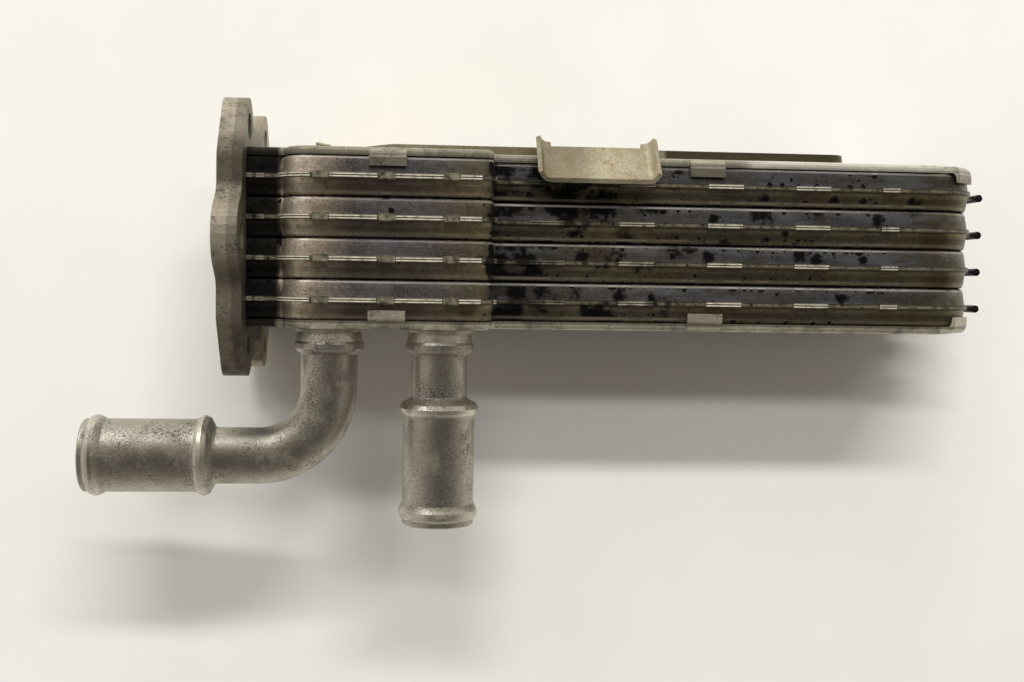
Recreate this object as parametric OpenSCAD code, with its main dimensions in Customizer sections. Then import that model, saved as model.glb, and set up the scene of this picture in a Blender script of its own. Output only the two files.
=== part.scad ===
// Plate-type exhaust gas cooler: four drawn gas cells stacked between two covers,
// one gas flange for both gas ports, two coolant pipes and a clip bracket.
// Millimetres. X runs from the flange's mating face along the cells, Y is the stacking
// direction with the bracket at the +Y side, and Z points to the side with the coolant ports.

/* [Gas cells] */
// Height of one cell, from groove to groove
cell_pitch = 10; // [8:0.1:12]
// Thickness of the drawn sheet
sheet = 0.8; // [0.5:0.05:1.2]
// Distance of the far wall's seam from the middle of the flange
far_wall = 23; // [20:0.1:26]
// Distance of the near wall's seam at the neck
neck_wall = 23.5; // [21:0.1:26]
// Distance of the near wall's seam at the bulge that holds the coolant ports
bulge_wall = 29.5; // [27:0.1:32]
// Distance of the near wall's seam behind the bulge
main_wall = 19; // [17:0.1:21]
// Where the bulge's straight ridge starts
bulge_start = 22.2; // [20:0.1:24]
// Where the bulge's straight ridge ends
bulge_end = 63.4; // [58:0.1:66]
// Closed end of the cells
cell_end = 194.4; // [180:0.1:200]
// Plan radius of the two corners at the closed end
end_radius = 12; // [8:0.1:15]
// Plan radius of the bulge's outer corner on the long side
bulge_round = 3.4; // [3.2:0.1:4]
// Plan radius of the bulge's inner corner on the long side
bulge_fillet = 1.4; // [1:0.1:2]
// Plan radius of the round shoulder between the neck and the bulge
bulge_turn = 8; // [7:0.1:9]
// How far the seam lip stands out of the wall
seam_lip = 0.5; // [0.3:0.05:0.8]
// Depth of the coolant channel pressed into each half-shell
channel_depth = 1; // [0.6:0.1:1.4]
// Inset of the coolant channel's edge from the seam line
land_inset = 3.5; // [3.2:0.1:4.5]

/* [Seam hems] */
// Start and end of each hem on the bulge
bulge_hems = [[26.5, 37.9], [42.5, 53.8], [57.9, 63.2]]; // [26:0.1:64]
// Start and end of each lock tab on the bulge
lock_tabs = [[22.5, 26.3], [38.1, 42.3], [54, 57.7]]; // [22:0.1:64]
// Height of a lock tab over and under the seam
lock_height = 0.95; // [0.85:0.05:1.1]
// Start of the first hem behind the bulge
first_hem = 75.8; // [74:0.1:78]
// Spacing of the hems behind the bulge
hem_pitch = 22.8; // [20:0.1:25]
// Length of a hem behind the bulge
hem_length = 9; // [6:0.1:11]
// How far a hem stands out of the seam lip
hem_sheet = 0.6; // [0.4:0.05:0.8]
// Height of a hem over the seam
hem_height = 0.66; // [0.65:0.01:0.8]
// Width of the tongue at the closed end of each cell
tongue_width = 10; // [6:0.5:14]
// Reach of the tongue beyond the closed end
tongue_reach = 5.2; // [2:0.1:7]

/* [Gas passes] */
// Thickness of the divider between the two gas passes
divider_sheet = 1; // [0.8:0.1:1.5]
// End of the divider, where the gas turns round
divider_end = 172; // [160:0.5:178]
// Thickness of the fin sheet
fin_sheet = 0.25; // [0.15:0.05:0.4]
// Start of the fin in the far pass
far_fin_start = 12; // [11:0.5:40]
// Start of the fin in the near pass, past the coolant ports
near_fin_start = 70; // [66:0.5:90]
// End of both fins
fin_end = 168; // [150:0.5:172]
// Number of waves in the far fin
far_waves = 6; // [4:1:9]
// Number of waves in the near fin
near_waves = 5; // [3:1:8]

/* [Covers] */
// Thickness of each cover
cover_sheet = 2; // [1.5:0.1:2.5]
// Closed end of the covers
cover_end = 191.5; // [186:0.1:194]
// Plan radius of a cover's end corners
cover_radius = 12; // [8:0.1:14]
// Inset of a cover's edge from the cells' seam line
cover_inset = 0.6; // [0.4:0.05:1]
// Start of each clamp tab along a cover's long edges
cover_tabs = [35.9, 116.7]; // [20:0.1:150]
// Width of a clamp tab
cover_tab_width = 9; // [6:0.1:11]
// Width of a clamp tab at an end corner
corner_tab_width = 8; // [5:0.1:9]
// Reach of a clamp tab below the cover's inner face
cover_tab_drop = 2.6; // [2:0.1:3.5]

/* [Gas flange] */
// Thickness of the flange
flange_thick = 6; // [5:0.1:8]
// Corner bolt positions across the stack, from the middle
bolt_y = 27.5; // [26:0.1:30]
// Corner bolt positions towards the near and far sides
bolt_z = 17; // [15:0.1:20]
// Radius of the bolt holes
bolt_radius = 3.3; // [2.5:0.05:4.5]
// Radius of the rounded ears
ear_radius = 7; // [6:0.1:9]
// Distance of the flange's long edges from the middle
shoulder_z = 31; // [29:0.1:34]
// Where a long edge's straight part ends, across the stack
shoulder_y = 18; // [16:0.1:19]
// Radius of the corners at the ends of a long edge
shoulder_round = 6; // [5:0.1:7]
// Position of the notches between the corner ears, across the stack
notch_y = 31.5; // [30:0.1:33]
// Radius of the notches between the ears
notch_round = 5; // [4:0.1:5.5]
// Position of the single middle bolt on the near side
middle_bolt_z = 31; // [30:0.1:34]
// Radius of the middle ear
middle_radius = 9; // [8:0.1:10]
// Half height of the two gas windows
window_y = 18; // [15:0.1:19]
// Outer edge of the two gas windows
window_z = 20; // [16:0.1:21]
// Radius of the corners of the gas windows
window_round = 3; // [2:0.1:5]
// Half width of the web between the gas windows
web_half = 1.5; // [1:0.1:3]

/* [Coolant ports and pipes] */
// Position of the two ports along the cells, bent pipe first
port_x = [26.2, 53.6]; // [20:0.1:60]
// Distance of the ports towards the near side
port_z = 20; // [18:0.1:21]
// Radius of the bore through the shells' port collars
port_bore = 5; // [4:0.1:5.4]
// Outer radius of the tube
tube_radius = 7; // [6:0.1:8]
// Outer radius of the hose spigot
spigot_radius = 9; // [8:0.1:10]
// Radius over the hose beads
bead_radius = 10; // [9.5:0.1:11]
// Wall of the tube and spigot
pipe_wall = 1; // [0.8:0.1:1.5]
// Length of a hose end, from its shoulder to its lip
hose_length = 32.2; // [28:0.1:38]
// Length of the cone and shoulder bead of a hose end
shoulder_length = 5.4; // [4.8:0.1:6.5]
// Length of the end bead and lip of a hose end
bead_length = 5.4; // [4.8:0.1:6.5]
// Radius of the stop bead that seats on the drawn neck
stop_bead = 8.5; // [8.2:0.1:9.5]
// Height of the stop bead
stop_height = 3.3; // [2.8:0.1:4]
// Bend radius of the bent pipe
bend_radius = 17; // [15:0.5:22]
// Distance of the bent pipe's run from the stack's middle
run_y = 54.1; // [50:0.1:58]
// Distance from the stack's middle to the straight pipe's shoulder
straight_shoulder = 38.8; // [34:0.1:45]
// Position of the bent pipe's shoulder, beyond the flange face
bent_shoulder = -1; // [-4:0.1:4]
// Outer radius of the drawn neck on the bottom cover
neck_radius = 8; // [7.8:0.1:9]
// Height of the drawn neck
neck_height = 3.3; // [2:0.1:5]

/* [Clip bracket] */
// Thickness of the bracket's sheet
bracket_sheet = 1.2; // [0.8:0.1:1.6]
// Height of the bracket's plate over the cover
bracket_rise = 2.4; // [1.6:0.1:3.5]
// Near edge and far edge of the bracket's plate, from the flange's middle
bracket_edge = [14, 18]; // [10:0.5:20]
// Start and end of the plate on the far side
bracket_far = [18, 168]; // [10:0.5:180]
// Start and end of the plate on the near side
bracket_near = [39, 159]; // [10:0.5:180]
// Middle of the near saddle, then of the two far saddles
saddle_x = [92.4, 35, 152.6]; // [20:0.1:170]
// Width of each saddle's floor
saddle_width = [24, 24, 15]; // [12:0.5:32]
// Length of the straight part of a rim, above its rounded root
saddle_rim = [1.2, 2.2, 2.2]; // [0.5:0.1:4]
// Angle by which the rims are bent up
saddle_bend = [62, 42, 42]; // [30:1:75]
// Inner radius of the rims' rounded root
saddle_round = 2; // [1:0.1:3]
// How far the rims run up past the bend between shelf and slope
saddle_peak = [1.6, 4, 4]; // [0.5:0.1:6]
// Drop of the floor from the plate to the lip, for each saddle
saddle_drop = [7.6, 8, 8]; // [6:0.1:12]
// Reach of the floor beyond the shelf, for each saddle
saddle_reach = [6.2, 3.4, 3.4]; // [3:0.1:12]
// Length of the lip at the front of a saddle
saddle_lip = 2.2; // [1:0.1:4]
// Angle by which the lip is bent up
lip_bend = 25; // [10:1:40]
// Shelf that carries a saddle out over the cover's edge
saddle_shelf = 5.6; // [5:0.1:8]

/* [Hidden] */
// Round shoulder of the bulge: its centre, its sweep into the neck and where the neck ends inside its sheet
bulge_ridge = [bulge_start, bulge_wall - bulge_turn];
shoulder_sweep = 84;
hem_sweep = 66;
neck_end = bulge_start - sqrt(pow(bulge_turn, 2) - pow(neck_wall - bulge_ridge[1], 2)) + 0.5;
$fn = 64;
arc_steps = 8;
half = cell_pitch / 2;
stack_half = 2 * cell_pitch;
cover_face = stack_half + cover_sheet;
plate_inner = half - sheet;
channel_floor = half - channel_depth;
tray_inner = channel_floor - sheet;
plate_inset = 2.7;
section_end = 3;
lip_height = 0.6;
channel_start = 10.5;
mouth = flange_thick;
small = 0.01;
saddle_sink = 0.2;
saddle_root = 2;
rim_root = 0.5;
rim_sink = 0.05;
stainless = [0.66, 0.63, 0.58];
sooty = [0.33, 0.32, 0.31];
pale = [0.74, 0.71, 0.62];

// Wall of a half-shell from the seam up to the flat that meets the next cell
shell_section = [[-seam_lip, 0], [-seam_lip, lip_height], [0.08, lip_height + 0.1], [0.5, 3.4], [0.62, 4.2],
                 [0.85, 4.62], [1.2, 4.88], [1.7, half], [section_end, half], [section_end, plate_inner],
                 [2, plate_inner], [1.7, 4.02], [1.5, 3.7], [1.3, 3.1], [0.8, 0]];

// Rounded edge of a cover
cover_section = [[cover_inset, 0], [cover_inset, 1.1], [cover_inset + 0.25, 1.7], [cover_inset + 0.8, cover_sheet],
                 [section_end, cover_sheet], [section_end, 0]];

// Clamp tab folded from a cover's edge over the outer cell's wall
clamp_section = [[1.6, 1.6], [1.1, 0], [0.35, -0.9], [0, -cover_tab_drop], [-0.8, -cover_tab_drop],
                 [-0.75, -0.5], [-0.3, 0.9], [0.6, 1.6]];

// The same tab at a rounded end corner, where the cells reach further out than the cover
corner_section = [[1.6, 1.6], [1.6, 0], [-0.55, 0], [-1.3, -0.25], [-1.75, -0.9], [-2.05, -cover_tab_drop],
                  [-2.85, -cover_tab_drop], [-2.8, -0.5], [-2.35, 0.9], [-1.4, 1.6]];

// Hem along a seam lip: the hems of two shells meet and leave a fine line between them
hem_section = [[-0.2, lip_height], [-0.2, 0], [-seam_lip - hem_sheet + 0.25, 0], [-seam_lip - hem_sheet, 0.15],
               [-seam_lip - hem_sheet, hem_height - 0.2], [-seam_lip - hem_sheet + 0.2, hem_height],
               [-seam_lip + 0.1, hem_height]];

// Lock tab of an upper shell, hooked over the lower shell's lip
lock_section = [[0.3, 0.4], [0.3, 0.3], [-0.2, small], [-seam_lip - small, small], [-seam_lip - small, -lock_height],
                [-seam_lip - hem_sheet + 0.1, -lock_height], [-seam_lip - hem_sheet, 0.2 - lock_height],
                [-seam_lip - hem_sheet, lock_height - 0.2], [-seam_lip - hem_sheet + 0.2, lock_height],
                [0.3, lock_height]];

function turn(a) = [cos(a), sin(a)];
function wrap(a) = a - 360 * floor(a / 360);

// Direction of the tangent line's outward normal between two circles, each [x, y, signed radius]
function belt_angle(p, q) =
    atan2(q[1] - p[1], q[0] - p[0]) - acos((p[2] - q[2]) / norm([q[0] - p[0], q[1] - p[1]]));

// Closed outline round a chain of circles: a positive radius turns outwards, a negative one is a fillet
function belt(circles) = [
    for (i = [0:len(circles) - 1])
        let (n = len(circles), c = circles[i],
             a0 = belt_angle(circles[(i + n - 1) % n], c),
             a1 = belt_angle(c, circles[(i + 1) % n]),
             sweep = c[2] > 0 ? wrap(a1 - a0) : wrap(a1 - a0) - 360)
        for (k = [0:arc_steps]) [c[0], c[1]] + c[2] * turn(a0 + sweep * k / arc_steps)];

// Outward corner at the given point of a plan, with the two headings that meet there
function plan_corner(x, z, sx, sz, r, flip) = [
    for (k = [0:arc_steps])
        let (t = flip ? 90 - 90 * k / arc_steps : 90 * k / arc_steps)
        [x - sx * r + sx * r * cos(t), z - sz * r + sz * r * sin(t)]];

// Angle at which the bulge's round shoulder reaches the neck, at an inset from the seam line
function shoulder_end(inset) = acos((neck_wall - inset - bulge_ridge[1]) / (bulge_turn - inset));

// Plan of the cells, inset from the seam line, as [x, -z] points
function cell_plan(inset, start, end) =
    let (round = max(bulge_round - inset, 0.2),
         fillet = bulge_fillet + inset,
         corner = max(end_radius - inset, 0.2),
         near = main_wall - inset,
         bulge = bulge_wall - inset,
         neck = neck_wall - inset,
         right = bulge_end + bulge_round - inset)
    [for (p = concat([[start, -far_wall + inset]],
                     plan_corner(end - inset, -far_wall + inset, 1, -1, corner, true),
                     plan_corner(end - inset, near, 1, 1, corner, false),
                     plan_corner(right, near, -1, -1, fillet, true),
                     plan_corner(right, bulge, 1, 1, round, false),
                     [for (k = [0:2 * arc_steps])
                         let (a = shoulder_end(inset) * k / (2 * arc_steps))
                         bulge_ridge + (bulge_turn - inset) * [-sin(a), cos(a)]],
                     [[start, neck]])) [p[0], -p[1]]];

// Layer of a plan polygon, from one height to the other along Y
module layer(points, low, high)
    translate([0, low, 0]) rotate([-90, 0, 0]) linear_extrude(high - low) polygon(points);

// Section run straight from a point, where heading 90 is along +X and 180 along -Z
module run(x, z, heading, length)
    translate([x, 0, z]) rotate([0, heading, 0]) linear_extrude(length) children();

// Section turned a quarter round a centre inside the part
module outer_turn(x, z, radius, start)
    translate([x, 0, z]) rotate([-90, 0, 0]) rotate([0, 0, start]) rotate_extrude(angle = 90)
        translate([radius, 0]) mirror([1, 0]) children();

// Section turned a quarter round a centre outside the part
module inner_turn(x, z, radius, start)
    translate([x, 0, z]) rotate([-90, 0, 0]) rotate([0, 0, start]) rotate_extrude(angle = 90)
        translate([radius, 0]) children();

// Section turned down from the bulge's ridge towards the neck
module bulge_shoulder(start, sweep)
    translate([bulge_ridge[0], 0, bulge_ridge[1]]) rotate([-90, 0, 0]) rotate([0, 0, 270 - start]) mirror([0, 1, 0])
        rotate_extrude(angle = sweep) translate([bulge_turn, 0]) mirror([1, 0]) children();

// Section carried along the near wall, round the closed end and back along the far wall
module around(end, radius) {
    right = bulge_end + bulge_round;
    run(mouth, neck_wall, 90, neck_end - mouth) children();
    bulge_shoulder(0, shoulder_sweep) children();
    run(bulge_start, bulge_wall, 90, bulge_end - bulge_start) children();
    outer_turn(bulge_end, bulge_wall - bulge_round, bulge_round, 270) children();
    run(right, bulge_wall - bulge_round, 180, bulge_wall - bulge_round - main_wall - bulge_fillet) children();
    inner_turn(right + bulge_fillet, main_wall + bulge_fillet, bulge_fillet, 90) children();
    run(right + bulge_fillet, main_wall, 90, end - radius - right - bulge_fillet) children();
    outer_turn(end - radius, main_wall - radius, radius, 270) children();
    run(end, main_wall - radius, 180, main_wall + far_wall - 2 * radius) children();
    outer_turn(end - radius, radius - far_wall, radius, 0) children();
    run(end - radius, -far_wall, 270, end - radius - mouth) children();
}

// Collar drawn from a shell's channel floor to the seam, round each coolant port
module port_collars()
    for (x = port_x)
        translate([x, 0, port_z]) rotate([-90, 0, 0]) cylinder(r = port_bore + sheet, h = tray_inner + small);

// Half-shell above the seam
module half_shell() {
    seam_hems();
    difference() {
        union() {
            around(cell_end, end_radius) polygon(shell_section);
            difference() {
                union() {
                    layer(cell_plan(plate_inset, mouth, cell_end), plate_inner, half);
                    layer(cell_plan(land_inset - sheet + 0.1, channel_start - sheet, cell_end), tray_inner, half - 0.4);
                }
                layer(cell_plan(land_inset, channel_start, cell_end), channel_floor, half + 1);
            }
            port_collars();
        }
        for (x = port_x)
            translate([x, -1, port_z]) rotate([-90, 0, 0]) cylinder(r = port_bore, h = half + 2);
    }
}

// Row of hems along the near wall and, on the same spacing, along the far wall
module seam_hems() {
    bulge_shoulder(2, hem_sweep) polygon(hem_section);
    for (t = bulge_hems)
        run(t[0], bulge_wall, 90, t[1] - t[0]) polygon(hem_section);
    for (i = [0:4]) {
        start = first_hem + i * hem_pitch;
        run(start, main_wall, 90, i == 4 ? hem_length / 2 : hem_length) polygon(hem_section);
    }
    for (i = [-2:4])
        run(first_hem + i * hem_pitch + hem_length, -far_wall, 270, hem_length) polygon(hem_section);
}

// Tongue at the closed end, with its rolled tip
module end_tongue() {
    tip = cell_end + tongue_reach;
    translate([cell_end - 0.3, -sheet, -tongue_width / 2]) cube([tongue_reach + 0.3, sheet, tongue_width]);
    translate([tip, -sheet / 2, -tongue_width / 2]) cylinder(r = 1, h = tongue_width);
}

function seam_y(cell) = stack_half + half - cell * cell_pitch;

module upper_shell(cell)
    color(sooty) translate([0, seam_y(cell), 0]) {
        half_shell();
        for (t = lock_tabs)
            run(t[0], bulge_wall, 90, t[1] - t[0]) polygon(lock_section);
    }

module lower_shell(cell)
    color(sooty) translate([0, seam_y(cell), 0]) {
        mirror([0, 1, 0]) half_shell();
        end_tongue();
    }

// Strip that parts the two gas passes, fitted between the shells
module divider(cell) {
    step = channel_start - sheet;
    color(stainless) translate([0, seam_y(cell), -divider_sheet / 2]) linear_extrude(divider_sheet)
        polygon([[mouth, -plate_inner], [step, -plate_inner], [step, -tray_inner], [divider_end, -tray_inner],
                 [divider_end, tray_inner], [step, tray_inner], [step, plate_inner], [mouth, plate_inner]]);
}

// Folded fin profile, crest and trough in turn, from z to z + waves * pitch
function fin_profile(z, waves, pitch, h, t) = concat(
    [for (k = [0:waves - 1]) for (p = [[k * pitch, h], [k * pitch + pitch / 2 + t, h],
                                       [k * pitch + pitch / 2 + t, t - h], [(k + 1) * pitch, t - h]]) [p[0] + z, p[1]]],
    [for (k = [waves - 1:-1:0]) for (p = [[(k + 1) * pitch, -h], [k * pitch + pitch / 2, -h],
                                          [k * pitch + pitch / 2, h - t], [k * pitch + t, h - t]]) [p[0] + z, p[1]]],
    [[z + t, t - h], [z, t - h]]);

module fin(cell, start, z0, z1, waves)
    color(stainless) translate([start, seam_y(cell), 0]) rotate([0, 90, 0]) linear_extrude(fin_end - start)
        polygon([for (p = fin_profile(z0, waves, (z1 - z0) / waves, tray_inner, fin_sheet)) [-p[0], p[1]]]);

module near_fin(cell)
    fin(cell, near_fin_start, divider_sheet / 2 + 0.2, main_wall - land_inset, near_waves);

module far_fin(cell)
    fin(cell, far_fin_start, land_inset - far_wall, -divider_sheet / 2 - 0.2, far_waves);

// Cover with its rounded edge and clamp tabs, its inner face at height 0
module cover() {
    around(cover_end, cover_radius) polygon(cover_section);
    layer(cell_plan(plate_inset, mouth, cover_end), 0, cover_sheet);
    run(cover_tabs[0], bulge_wall, 90, cover_tab_width) polygon(clamp_section);
    run(cover_tabs[1], main_wall, 90, cover_tab_width) polygon(clamp_section);
    for (x = cover_tabs)
        run(x + cover_tab_width, -far_wall, 270, cover_tab_width) polygon(clamp_section);
    corner_tab(main_wall - cover_radius, 45);
    corner_tab(cover_radius - far_wall, -45);
}

// Clamp tab square to the given direction at a rounded end corner of a cover
module corner_tab(z, direction)
    translate([cover_end - cover_radius, 0, z]) rotate([0, -direction, 0])
        run(cover_radius, corner_tab_width / 2, 180, corner_tab_width) polygon(corner_section);

module top_cover()
    color(pale) translate([0, stack_half, 0]) cover();

// Drawn neck for a pipe on the bottom cover
module cover_neck()
    rotate([-90, 0, 0]) rotate_extrude()
        polygon([[4, 0.2], [neck_radius + 1.6, 0.2], [neck_radius + 1.6, cover_sheet], [neck_radius + 0.6, cover_sheet + 0.4],
                 [neck_radius, cover_sheet + 1], [neck_radius, cover_sheet + neck_height], [4, cover_sheet + neck_height]]);

module bottom_cover()
    color(pale) translate([0, -stack_half, 0]) mirror([0, 1, 0]) difference() {
        union() {
            cover();
            for (x = port_x)
                translate([x, 0, port_z]) cover_neck();
        }
        for (x = port_x)
            translate([x, -1, port_z]) rotate([-90, 0, 0]) cylinder(r = tube_radius, h = cover_sheet + neck_height + 2);
    }

// Hose end turned round its own axis: cone, shoulder bead, spigot, end bead and lip, starting at 0
module hose_end() {
    wall = pipe_wall;
    end = hose_length;
    s = shoulder_length;
    e = bead_length;
    rotate_extrude()
        polygon([[tube_radius - wall, -small], [tube_radius, -small], [tube_radius + 0.2, s / 9],
                 [bead_radius - 0.6, s / 3], [bead_radius, s * 0.54], [bead_radius - 0.25, s * 0.72],
                 [spigot_radius + 0.15, s * 0.89], [spigot_radius, s], [spigot_radius, end - e],
                 [spigot_radius + 0.25, end - e * 0.91], [bead_radius - 0.15, end - e * 0.7],
                 [bead_radius, end - e * 0.54], [bead_radius - 0.3, end - e * 0.37],
                 [spigot_radius + 0.2, end - e * 0.27], [spigot_radius, end - e * 2 / 9],
                 [spigot_radius, end - e / 18], [spigot_radius - 0.35, end], [spigot_radius - wall, end],
                 [spigot_radius - wall, s * 0.85], [tube_radius - wall, s * 0.48]]);
}

// Root of a pipe: tube through the cover's neck, with the stop bead that seats on the neck, ending at 0
module pipe_root(length) {
    seat = neck_height + cover_sheet;
    wall = pipe_wall;
    rotate_extrude() translate([0, -length])
        polygon([[tube_radius - wall, 0], [tube_radius, 0], [tube_radius, seat], [stop_bead - 0.3, seat],
                 [stop_bead, seat + 0.6], [stop_bead, seat + stop_height - 1.5],
                 [stop_bead - 0.4, seat + stop_height - 0.8], [tube_radius + 0.1, seat + stop_height - 0.2],
                 [tube_radius, seat + stop_height], [tube_radius, length], [tube_radius - wall, length]]);
}

module straight_coolant_pipe() {
    root = straight_shoulder - stack_half;
    color(stainless) translate([port_x[1], -straight_shoulder, port_z]) rotate([90, 0, 0]) {
        pipe_root(root);
        hose_end();
    }
}

// Plain tube along +Z
module tube(length)
    rotate_extrude()
        translate([tube_radius - pipe_wall, 0]) square([pipe_wall, length]);

// The root, the bend and the run are set from the bend's centre
module bent_coolant_pipe() {
    root = run_y - stack_half - bend_radius;
    run = port_x[0] - bend_radius - bent_shoulder;
    color(stainless) translate([port_x[0] - bend_radius, -stack_half - root, port_z]) {
        translate([bend_radius, 0, 0]) rotate([90, 0, 0]) pipe_root(root);
        rotate([0, 0, -90]) {
            rotate_extrude(angle = 90) translate([bend_radius, 0]) difference() {
                circle(r = tube_radius);
                circle(r = tube_radius - pipe_wall);
            }
            translate([bend_radius, 0, 0]) rotate([90, 0, 0]) {
                tube(run);
                translate([0, 0, run]) hose_end();
            }
        }
    }
}

// Flange outline in Y and Z: four corner ears, a middle ear on the near side and notches between the ears
shoulder_in = shoulder_z - shoulder_round;
notch_out = shoulder_z + notch_round;
middle_notch = middle_radius + notch_round - 0.4;
flange_belt = [[bolt_y, bolt_z, ear_radius], [shoulder_y, shoulder_in, shoulder_round],
               [middle_notch, notch_out, -notch_round], [0, middle_bolt_z, middle_radius],
               [-middle_notch, notch_out, -notch_round], [-shoulder_y, shoulder_in, shoulder_round],
               [-bolt_y, bolt_z, ear_radius], [-notch_y, notch_round, -notch_round],
               [-notch_y, -notch_round, -notch_round], [-bolt_y, -bolt_z, ear_radius],
               [-shoulder_y, -shoulder_in, shoulder_round], [shoulder_y, -shoulder_in, shoulder_round],
               [bolt_y, -bolt_z, ear_radius], [notch_y, -notch_round, -notch_round],
               [notch_y, notch_round, -notch_round]];

function window_belt(z0, z1) =
    [[window_y - window_round, z1 - window_round, window_round], [window_round - window_y, z1 - window_round, window_round],
     [window_round - window_y, z0 + window_round, window_round], [window_y - window_round, z0 + window_round, window_round]];

module gas_flange()
    color(pale) rotate([90, 0, 90]) difference() {
        linear_extrude(flange_thick) polygon(belt(flange_belt));
        for (y = [-bolt_y, bolt_y], z = [-bolt_z, bolt_z])
            translate([y, z, -1]) cylinder(r = bolt_radius, h = flange_thick + 2);
        translate([0, middle_bolt_z, -1]) cylinder(r = bolt_radius, h = flange_thick + 2);
        for (w = [[web_half, window_z], [-window_z, -web_half]])
            translate([0, 0, -1]) linear_extrude(flange_thick + 2) polygon(belt(window_belt(w[0], w[1])));
    }

// Rounded rims along +Z on both edges of a saddle's floor, rooted inside the floor's sheet
module rims(width, bend, straight, start, end) {
    sheet = bracket_sheet - 2 * rim_sink;
    r = saddle_round;
    tip = straight * [cos(bend), sin(bend)];
    turns = [for (k = [0:arc_steps]) bend * k / arc_steps];
    inner = [for (a = turns) [rim_sink + r * sin(a), r - r * cos(a) - rim_sink]];
    outer = [for (a = turns) [rim_sink + (r + sheet) * sin(a), r - (r + sheet) * cos(a) - rim_sink]];
    profile = concat([[-rim_root, -rim_sink]], inner, [inner[arc_steps] + tip, outer[arc_steps] + tip],
                     [for (k = [arc_steps:-1:0]) outer[k]], [[-rim_root, -rim_sink - sheet]]);
    for (side = [-1, 1])
        translate([0, 0, start]) linear_extrude(end - start)
            polygon([for (p = profile) [side * (width / 2 + p[0]), p[1]]]);
}

// Saddle that leaves the plate on a shelf, slopes down past the cover and ends in a lip
module saddle(i) {
    width = saddle_width[i];
    length = norm([saddle_drop[i], saddle_reach[i]]);
    slope = atan2(saddle_drop[i], saddle_reach[i]);
    t = bracket_sheet;
    foot = [saddle_shelf + saddle_reach[i], -saddle_drop[i]];
    lip = slope - lip_bend;
    front = foot + saddle_lip * [cos(lip), -sin(lip)];
    middle = slope - lip_bend / 2;
    translate([width / 2, 0, 0]) rotate([0, -90, 0]) linear_extrude(width)
        polygon([[-saddle_root, 0], [saddle_shelf, 0], foot, front, front - t * [sin(lip), cos(lip)],
                 foot - t / cos(lip_bend / 2) * [sin(middle), cos(middle)],
                 [saddle_shelf - t * tan(slope / 2), -t], [-saddle_root, -t]]);
    translate([0, 0, saddle_shelf]) rotate([slope, 0, 0])
        rims(width, saddle_bend[i], saddle_rim[i], -saddle_peak[i], length + 0.1);
    translate([0, foot[1], foot[0]]) rotate([lip, 0, 0])
        rims(width + 0.06, saddle_bend[i] - 3, saddle_rim[i] - 0.1, -0.2, saddle_lip - 0.05);
}

bracket_belt = [[bracket_far[0] + 4, bracket_edge[1] - 4, 4], [bracket_near[0] + 4, 4 - bracket_edge[0], 4],
                [bracket_near[1] - 4, 4 - bracket_edge[0], 4], [bracket_far[1] - 4, bracket_edge[1] - 4, 4]];

function shrink(circles, by) = [for (c = circles) [c[0], c[1], c[2] - by]];

module clip_bracket() {
    rise = cover_face + bracket_rise;
    color(pale) {
        difference() {
            layer(belt(bracket_belt), cover_face, rise);
            layer(belt(shrink(bracket_belt, bracket_sheet)), cover_face - 1, rise - bracket_sheet);
        }
        translate([saddle_x[0], rise - saddle_sink, bracket_edge[0]]) saddle(0);
        for (i = [1, 2])
            translate([saddle_x[i], rise - saddle_sink, -bracket_edge[1]]) mirror([0, 0, 1]) saddle(i);
    }
}

module cell_1_upper_shell() upper_shell(1);
module cell_1_lower_shell() lower_shell(1);
module cell_1_divider() divider(1);
module cell_1_near_fin() near_fin(1);
module cell_1_far_fin() far_fin(1);
module cell_2_upper_shell() upper_shell(2);
module cell_2_lower_shell() lower_shell(2);
module cell_2_divider() divider(2);
module cell_2_near_fin() near_fin(2);
module cell_2_far_fin() far_fin(2);
module cell_3_upper_shell() upper_shell(3);
module cell_3_lower_shell() lower_shell(3);
module cell_3_divider() divider(3);
module cell_3_near_fin() near_fin(3);
module cell_3_far_fin() far_fin(3);
module cell_4_upper_shell() upper_shell(4);
module cell_4_lower_shell() lower_shell(4);
module cell_4_divider() divider(4);
module cell_4_near_fin() near_fin(4);
module cell_4_far_fin() far_fin(4);

gas_flange();
cell_1_upper_shell();
cell_1_lower_shell();
cell_1_divider();
cell_1_near_fin();
cell_1_far_fin();
cell_2_upper_shell();
cell_2_lower_shell();
cell_2_divider();
cell_2_near_fin();
cell_2_far_fin();
cell_3_upper_shell();
cell_3_lower_shell();
cell_3_divider();
cell_3_near_fin();
cell_3_far_fin();
cell_4_upper_shell();
cell_4_lower_shell();
cell_4_divider();
cell_4_near_fin();
cell_4_far_fin();
top_cover();
bottom_cover();
bent_coolant_pipe();
straight_coolant_pipe();
clip_bracket();
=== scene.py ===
# %% [markdown]
# Exhaust gas cooler, dressed for a studio picture
#
# The cooler is a used part: drawn stainless cells with soot baked on, a stained flange,
# satin coolant pipes and a rust-flecked clip bracket. Its solids come from the packed
# model, so this lesson is about finishes, light and the camera.

import bpy
from mathutils import Matrix, Vector


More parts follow.
